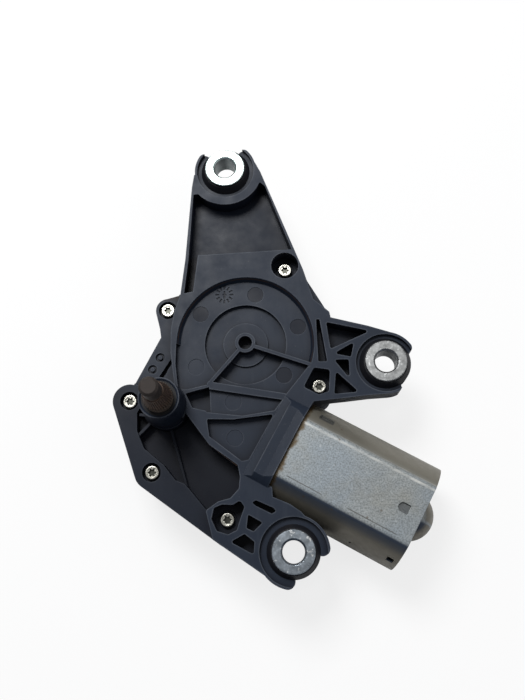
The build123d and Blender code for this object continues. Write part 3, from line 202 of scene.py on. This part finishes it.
def housing_look():
    """Glass-filled plastic: painted shade makes its pockets, corners and walls black; its raised edges are
    lighter, partly wear and partly painted highlight.
    """
    look = plastic("housing_plastic", (0.0155, 0.0215, 0.0345))
    height = look.along(UP)
    streaks = look.noise(260, 3, 0.6, stretch=(1.0, 0.12, 1.0), turn=0.5)
    look.mix(look.band(streaks, 0.55, 0.8, 0.0, 0.35), (0.034, 0.042, 0.056))
    look.mix(look.band(look.noise(900, 2, 0.5), 0.70, 0.78, 0.0, 0.25), (0.13, 0.13, 0.135))
    # Lighter along the raised outer edges: partly wear, partly a painted highlight.
    worn_and_lit_edges = look.band(look.shut_in(0.0006, inside=True), 0.93, 0.72)
    high = look.band(height, -0.0375, -0.0335)
    look.mix(look.times(worn_and_lit_edges, high, look.band(look.noise(150, 3), 0.3, 0.6, 0.2, 0.7)),
             (0.085, 0.095, 0.115))
    # Brown along the left edge of the longest arm.
    brown = look.times(look.band(look.along(EAST), 0.0135, 0.0125),
                       look.strip(height, -0.05, -0.030, 0.0005),
                       look.strip(look.along(NORTH), 0.050, 0.068, 0.002))
    look.mix(look.times(brown, look.band(look.noise(240, 3), 0.3, 0.6, 0.3, 0.9)), (0.030, 0.018, 0.012))
    # Painted shade: darker in the corners, on the floors of the pockets and on the flange by the tower.
    look.mix(look.band(look.shut_in(0.007), 0.92, 0.45, 0.0, 0.8), BLACK)
    look.mix(look.band(height, -0.0352, -0.0385, 0.0, 0.82), BLACK)
    flange = look.times(look.band(look.along((0.64, 0.77, 0)), 0.004, -0.010),
                        look.band(height, -0.0325, -0.0335))
    look.mix(look.times(flange, 0.6), BLACK)
    # The round marks in the dish, and the worn wall beside the deep pocket.
    flat_up = look.band(look.facing(UP), 0.7, 0.9)
    marks = look.times(look.strip(height, -0.03236, -0.03206, 0.00002), flat_up,
                       look.band(look.along((0.9, 1, 0)), 0.039, 0.041))
    look.mix(look.times(marks, 0.7), BLACK)
    wear_and_highlight = look.times(look.strip(height, -0.0302, -0.0298, 0.0001),
                      look.band(look.noise(300, 3), 0.35, 0.6, 0.3, 0.9))
    look.mix(wear_and_highlight, (0.060, 0.034, 0.020))
    # Painted shade: the upright walls darker than the faces that look up.
    shaded_walls = look.band(look.facing(UP), 0.6, 0.2)
    look.mix(look.times(shaded_walls, 0.45), BLACK)
    return look


def bare_metal(name, colour, rough_low, rough_high, grain_scale=700):
    """Bare metal with a fine grain."""
    look = Look(name, colour, 0.35, 1.0)
    look.soft_edges(0.0003)
    grain = look.noise(grain_scale, 3, 0.6)
    look.mix(look.band(grain, 0.35, 0.7, 0.0, 0.55), tuple(c * 0.55 for c in colour))
    look.roughness(look.band(look.noise(grain_scale * 0.6, 2), 0.3, 0.7, rough_low, rough_high))
    look.bump(grain, 0.12, 0.00005)
    return look


def sleeve_zinc(name, colour, mottle, speck, rough):
    """Zinc plating with a mottled grain, and painted shade inside the bore and on the other faces that do not
    look up.
    """
    look = Look(name, colour, rough, 1.0)
    look.soft_edges(0.0003)
    dark = tuple(c * 0.45 for c in colour)
    look.mix(look.band(look.noise(420, 4, 0.7), 0.42, 0.68, 0.0, mottle), dark)
    look.mix(look.band(look.voronoi(800), 0.15, 0.5, 0.0, 0.5 * mottle), dark)
    look.mix(look.band(look.noise(520, 2, 0.5), 0.62, 0.70, 0.0, speck), (0.95, 0.97, 0.97))
    # Painted shade on the faces that do not look up, such as the bore.
    look.mix(look.band(look.facing(UP), 0.45, 0.2, 0.0, 0.85), (0.09, 0.10, 0.105))
    look.bump(look.noise(700, 3, 0.6), 0.25, 0.00006)
    look.roughness(look.band(look.noise(300, 3), 0.3, 0.7, rough - 0.08, rough + 0.1))
    return look


def screw_zinc():
    """Zinc plating on the screws, with painted shade in their recesses and down the sides of their heads."""
    look = Look("zinc_plate", (0.56, 0.55, 0.49), 0.32, 1.0)
    look.soft_edges(0.0003)
    look.mix(look.band(look.noise(900, 3, 0.6), 0.45, 0.7, 0.0, 0.4), (0.34, 0.33, 0.28))
    # Painted shade below the head tops: the recesses and the sides of the heads.
    look.mix(look.band(look.along(UP), -0.0356, -0.0362, 0.0, 0.93), (0.03, 0.032, 0.026))
    look.roughness(look.band(look.noise(700, 2), 0.3, 0.7, 0.22, 0.36))
    return look


def can_look():
    """Drawn steel with a dull zinc coat: speckled, brown at its mouth, with painted highlights along its
    crease and painted shade and a painted reflection round its sides.
    """
    look = Look("can_steel", (0.33, 0.355, 0.36), 0.45, 0.55, 0.4)
    look.soft_edges(0.0005)
    along = look.along(tuple(U))
    across = look.along(tuple(N), MOTOR_OFFSET)
    up = look.facing(UP)
    look.mix(look.band(look.noise(34, 3, 0.5), 0.42, 0.62, 0.0, 0.6), (0.27, 0.32, 0.37))
    look.mix(look.band(look.noise(48, 4, 0.6), 0.52, 0.75, 0.0, 0.55), (0.29, 0.275, 0.225))
    look.mix(look.band(look.noise(1500, 2, 0.5), 0.40, 0.66, 0.0, 0.65), (0.13, 0.14, 0.14))
    look.mix(look.band(look.noise(620, 3, 0.6), 0.60, 0.72, 0.0, 0.4), (0.50, 0.53, 0.53))
    # Painted highlights: two light lines along the crease, broken by streaks; then painted shade and a
    # painted reflection on the sides.
    wear_and_highlight = look.band(look.noise(300, 3, 0.6, stretch=(0.15, 1, 1), turn=0.492), 0.4, 0.7, 0.2, 0.8)
    for low, high in ((0.0119, 0.0125), (0.0142, 0.0150)):
        look.mix(look.times(look.strip(across, low, high, 0.0004), wear_and_highlight), (0.58, 0.58, 0.55))
    # Painted shade, browner where the sides turn down, and a painted reflection as a dark blue band where the
    # flat turns down on the lower side.
    look.mix(look.times(look.band(up, 0.93, 0.75), look.band(across, 0.0, 0.001)), (0.185, 0.175, 0.145))
    look.mix(look.times(look.band(up, 0.985, 0.93), look.band(across, 0.0, -0.001)), (0.050, 0.064, 0.090))
    look.mix(look.times(look.band(up, 0.80, 0.66), look.band(across, 0.0, -0.001)), (0.15, 0.14, 0.115))
    # Scratches, spots and the brown mouth.
    for start, stop in ((0.0617, 0.0769), (0.0899, 0.111)):
        line = look.times(look.strip(across, -0.0112, -0.0110, 0.0002), look.strip(along, start, stop, 0.001))
        look.mix(look.times(line, look.band(up, 0.9, 0.95, 0.0, 0.75)), (0.07, 0.068, 0.06))
    look.mix(look.band(look.voronoi(150), 0.10, 0.05, 0.0, 0.55), (0.10, 0.07, 0.04))
    mouth = look.maths("ADD", look.maths("SUBTRACT", along, CAN_START),
                       look.band(look.noise(260, 3), 0.3, 0.7, -0.0010, 0.0010))
    look.mix(look.band(mouth, 0.0006, 0.0019, 0.9, 0.0), (0.095, 0.062, 0.024))
    # Painted shade inside the two dents.
    half_dent = look.times(look.strip(along, 0.1070, 0.1118, 0.0002),
                           look.strip(across, -0.0022, 0.0022, 0.0002),
                           look.band(look.along(UP), -0.0263, -0.0266))
    long_dent = look.times(look.strip(along, 0.0619, 0.0683, 0.0003),
                           look.strip(across, 0.0173, 0.0194, 0.0003))
    for dent in (half_dent, long_dent):
        look.mix(look.times(dent, 0.7), (0.055, 0.06, 0.065))
    look.bump(look.noise(1100, 3, 0.6), 0.22, 0.00005)
    look.roughness(look.band(look.noise(400, 3), 0.3, 0.7, 0.38, 0.55))
    return look


def spindle_look():
    """The output shaft: rusty on its cone, dark on its stub."""
    look = Look("shaft_steel", (0.066, 0.045, 0.035), 0.6, 0.35, 0.3)
    look.soft_edges(0.0003)
    height = look.along(UP)
    look.mix(look.band(look.noise(700, 4, 0.65), 0.45, 0.7, 0.0, 0.7), (0.12, 0.075, 0.052))
    look.mix(look.band(look.noise(350, 3), 0.55, 0.75, 0.0, 0.7), (0.022, 0.017, 0.016))
    grooves = look.band(look.noise(420, 3, 0.6, stretch=(1, 1, 0.15)), 0.5, 0.7, 0.0, 0.6)
    look.mix(look.times(look.strip(height, -0.0095, -0.0005, 0.001), grooves), (0.17, 0.115, 0.075))
    # Painted highlight: a lighter ring at the collar below the cone.
    look.mix(look.band(height, -0.0104, -0.0099, 0.7, 0.0), (0.115, 0.092, 0.076))
    look.mix(look.band(height, 0.0002, 0.002, 0.0, 0.85), (0.024, 0.021, 0.020))
    look.bump(look.noise(1500, 4, 0.7), 0.5, 0.0001)
    return look


rubber = Look("mount_rubber", (0.0075, 0.008, 0.011), 0.55, specular=0.25)
rubber.soft_edges(0.0004)
rubber.bump(rubber.noise(1500, 3), 0.3, 0.00006)
rubber.mix(rubber.band(rubber.noise(160, 4), 0.5, 0.8, 0.0, 0.5), (0.022, 0.019, 0.019))

seal = Look("seal_rubber", (0.006, 0.006, 0.007), 0.55, specular=0.25)
seal.bump(seal.noise(1200, 2), 0.2, 0.00005)

LOOKS = {
    "housing_plastic": housing_look(),
    "cover_plastic": plastic("cover_plastic", (0.020, 0.024, 0.034)),
    "mount_rubber": rubber,
    "zinc_plate": screw_zinc(),
    "can_steel": can_look(),
    "shaft_steel": spindle_look(),
    "bearing_bronze": bare_metal("bearing_bronze", (0.42, 0.26, 0.12), 0.4, 0.55),
    "gear_plastic": plastic("gear_plastic", (0.62, 0.60, 0.52), specular=0.4),
    "gear_steel": bare_metal("gear_steel", (0.30, 0.30, 0.31), 0.3, 0.45, 900),
    "pin_steel": bare_metal("pin_steel", (0.50, 0.50, 0.51), 0.22, 0.38, 900),
    "magnet_ferrite": plastic("magnet_ferrite", (0.03, 0.03, 0.032)),
    "core_steel": bare_metal("core_steel", (0.22, 0.22, 0.23), 0.35, 0.5),
    "copper": bare_metal("copper", (0.55, 0.22, 0.09), 0.25, 0.4),
    "carbon": plastic("carbon", (0.02, 0.02, 0.02)),
    "electrical_plastic": plastic("electrical_plastic", (0.035, 0.035, 0.04)),
    "contact_metal": bare_metal("contact_metal", (0.60, 0.50, 0.28), 0.25, 0.4),
    "seal_rubber": seal,
}
# Three tones of zinc for the three sleeves; the top sleeve's lighter tone is partly a painted highlight, as
# it faced the lamp.
NODE_LOOKS = {
    "mount_sleeve_top": sleeve_zinc("sleeve_zinc_bright", (0.60, 0.70, 0.68), 0.35, 0.25, 0.42),
    "mount_sleeve_right": sleeve_zinc("sleeve_zinc_grey", (0.44, 0.45, 0.45), 0.85, 0.45, 0.40),
    "mount_sleeve_bottom": sleeve_zinc("sleeve_zinc_blue", (0.40, 0.45, 0.50), 0.7, 0.8, 0.34),
}
for entry in frame["record"]["subparts"]:
    target = nodes[entry["node"]]
    if not target.material_slots:
        target.data.materials.append(None)
    for place in target.material_slots:
        place.link = "OBJECT"
        look = NODE_LOOKS.get(entry["node"], LOOKS[entry["material_slot"]])
        place.material = look.material


# The floor, the light and the background.
def area_light(name, spot, aim, size, power):
    lamp = bpy.data.lights.new(name, "AREA")
    lamp.size = size
    lamp.energy = power
    made = bpy.data.objects.new(name, lamp)
    scene.collection.objects.link(made)
    made.location = spot
    made.rotation_euler = (Vector(aim) - Vector(spot)).to_track_quat("-Z", "Y").to_euler()


area_light("key", (-0.20, 0.50, 0.80), (0.04, 0.02, -0.04), 0.40, 8.5)
area_light("fill", (0.70, -0.10, 0.55), (0.04, 0.0, -0.04), 0.6, 1.2)


def when_seen(tree, kinds):
    """1 for the rays that look at the background, 0 for those that light the object."""
    path = tree.nodes.new("ShaderNodeLightPath")
    total = path.outputs[kinds[0]]
    for kind in kinds[1:]:
        node = tree.nodes.new("ShaderNodeMath")
        node.operation = "MAXIMUM"
        tree.links.new(total, node.inputs[0])
        tree.links.new(path.outputs[kind], node.inputs[1])
        total = node.outputs["Value"]
    return total


# The sky: white where it is seen, and softly graded from the light side to a dim blue for the rest.
world = bpy.data.worlds.new("world")
scene.world = world
world.use_nodes = True
sky = world.node_tree
backdrop = sky.nodes["Background"]
backdrop.inputs["Color"].default_value = (1, 1, 1, 1)
backdrop.inputs["Strength"].default_value = 1.0
ambient = sky.nodes.new("ShaderNodeBackground")
ambient.inputs["Strength"].default_value = 0.34
direction = sky.nodes.new("ShaderNodeTexCoord").outputs["Generated"]
slope = sky.nodes.new("ShaderNodeVectorMath")
slope.operation = "DOT_PRODUCT"
slope.inputs[1].default_value = (0.0, 0.75, 0.66)
sky.links.new(direction, slope.inputs[0])
grade = sky.nodes.new("ShaderNodeMapRange")
grade.inputs["From Min"].default_value = -0.5
grade.inputs["From Max"].default_value = 0.7
sky.links.new(slope.outputs["Value"], grade.inputs["Value"])
tint = sky.nodes.new("ShaderNodeMix")
tint.data_type = "RGBA"
tint.inputs["A"].default_value = (0.16, 0.20, 0.30, 1)
tint.inputs["B"].default_value = (1.0, 1.0, 1.0, 1)
sky.links.new(grade.outputs["Result"], tint.inputs["Factor"])
sky.links.new(tint.outputs["Result"], ambient.inputs["Color"])
both = sky.nodes.new("ShaderNodeMixShader")
sky.links.new(when_seen(sky, ["Is Camera Ray", "Is Transmission Ray"]), both.inputs["Fac"])
sky.links.new(ambient.outputs["Background"], both.inputs[1])
sky.links.new(backdrop.outputs["Background"], both.inputs[2])
sky.links.new(both.outputs["Shader"], sky.nodes["World Output"].inputs["Surface"])

# The floor: a pale plane, partly lit and partly plain white where it is seen.
FLOOR_Z = -66.0 * MM
FLOOR_HALF = 6.0
FLOOR_PLAIN = 0.78
floor_mesh = bpy.data.meshes.new("floor")
CORNERS = ((-1, -1), (1, -1), (1, 1), (-1, 1))
floor_mesh.from_pydata([(x * FLOOR_HALF, y * FLOOR_HALF, FLOOR_Z) for x, y in CORNERS], [], [(0, 1, 2, 3)])
floor = bpy.data.objects.new("floor", floor_mesh)
scene.collection.objects.link(floor)
floor_material = bpy.data.materials.new("floor")
floor_material.use_nodes = True
ground = floor_material.node_tree
matte = ground.nodes["Principled BSDF"]
matte.inputs["Base Color"].default_value = (0.93, 0.93, 0.93, 1)
matte.inputs["Roughness"].default_value = 0.9
plain = ground.nodes.new("ShaderNodeEmission")
share = ground.nodes.new("ShaderNodeMath")
share.operation = "MULTIPLY"
share.inputs[1].default_value = FLOOR_PLAIN
ground.links.new(when_seen(ground, ["Is Camera Ray", "Is Transmission Ray"]), share.inputs[0])
blend = ground.nodes.new("ShaderNodeMixShader")
ground.links.new(share.outputs["Value"], blend.inputs["Fac"])
ground.links.new(matte.outputs["BSDF"], blend.inputs[1])
ground.links.new(plain.outputs["Emission"], blend.inputs[2])
ground.links.new(blend.outputs["Shader"], ground.nodes["Material Output"].inputs["Surface"])
floor_mesh.materials.append(floor_material)

scene.view_settings.view_transform = "Standard"
